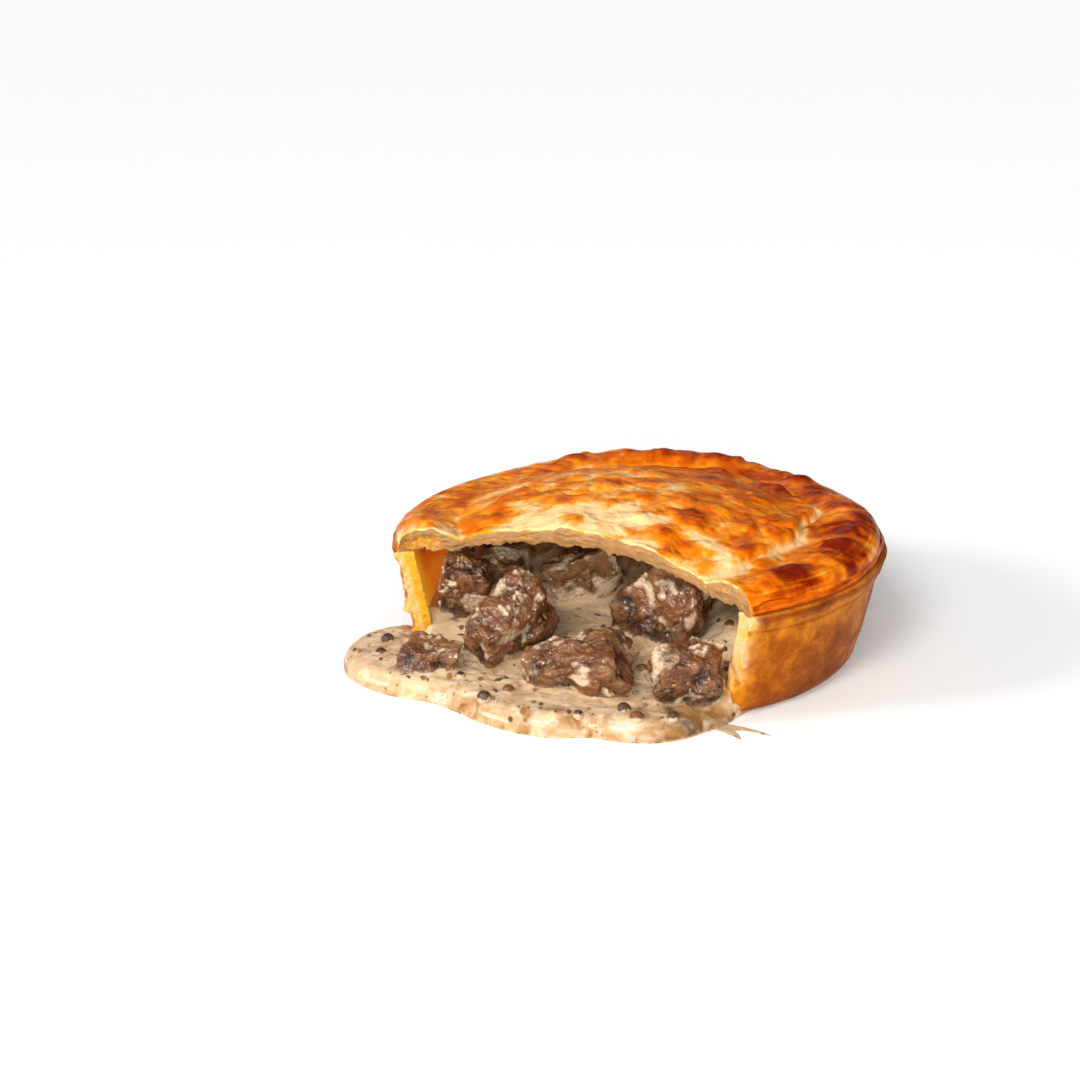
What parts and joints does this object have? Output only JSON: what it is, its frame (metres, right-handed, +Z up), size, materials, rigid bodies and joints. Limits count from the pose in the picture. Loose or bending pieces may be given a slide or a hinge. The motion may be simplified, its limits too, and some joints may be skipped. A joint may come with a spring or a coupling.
{
  "type": "pepper steak pie",
  "caption": "Round raised meat pie cut open at one side, with a domed glazed lid, and a creamy sauce with steak chunks and peppercorns running out.",
  "frame": {"origin": "on the pie's axis, on the flat underside of its pastry case, at table level", "axes": "+Z up through the lid; +X along the longest extent, to the right when the cut mouth is seen from the front; the mouth faces -Y, towards -X"},
  "size_m": [0.1335, 0.1257, 0.039],
  "materials": {
    "pastry_case": "baked shortcrust, pale golden, matt to satin",
    "pastry_lid": "egg-washed baked pastry, mottled golden brown, soft gloss",
    "pepper_sauce": "thick cream sauce with pepper flecks, glossy",
    "braised_steak": "braised beef, moist, satin to gloss"
  },
  "bodies": {
    "root": {"pastry_base": "pastry_case", "pastry_lid": "pastry_lid", "pepper_sauce": "pepper_sauce", "steak_left_front": "braised_steak", "steak_left_back": "braised_steak", "steak_peaked": "braised_steak", "steak_middle": "braised_steak", "steak_deep": "braised_steak", "steak_block": "braised_steak", "steak_front": "braised_steak", "steak_right": "braised_steak", "steak_spilt": "braised_steak"}
  },
  "joints": []
}
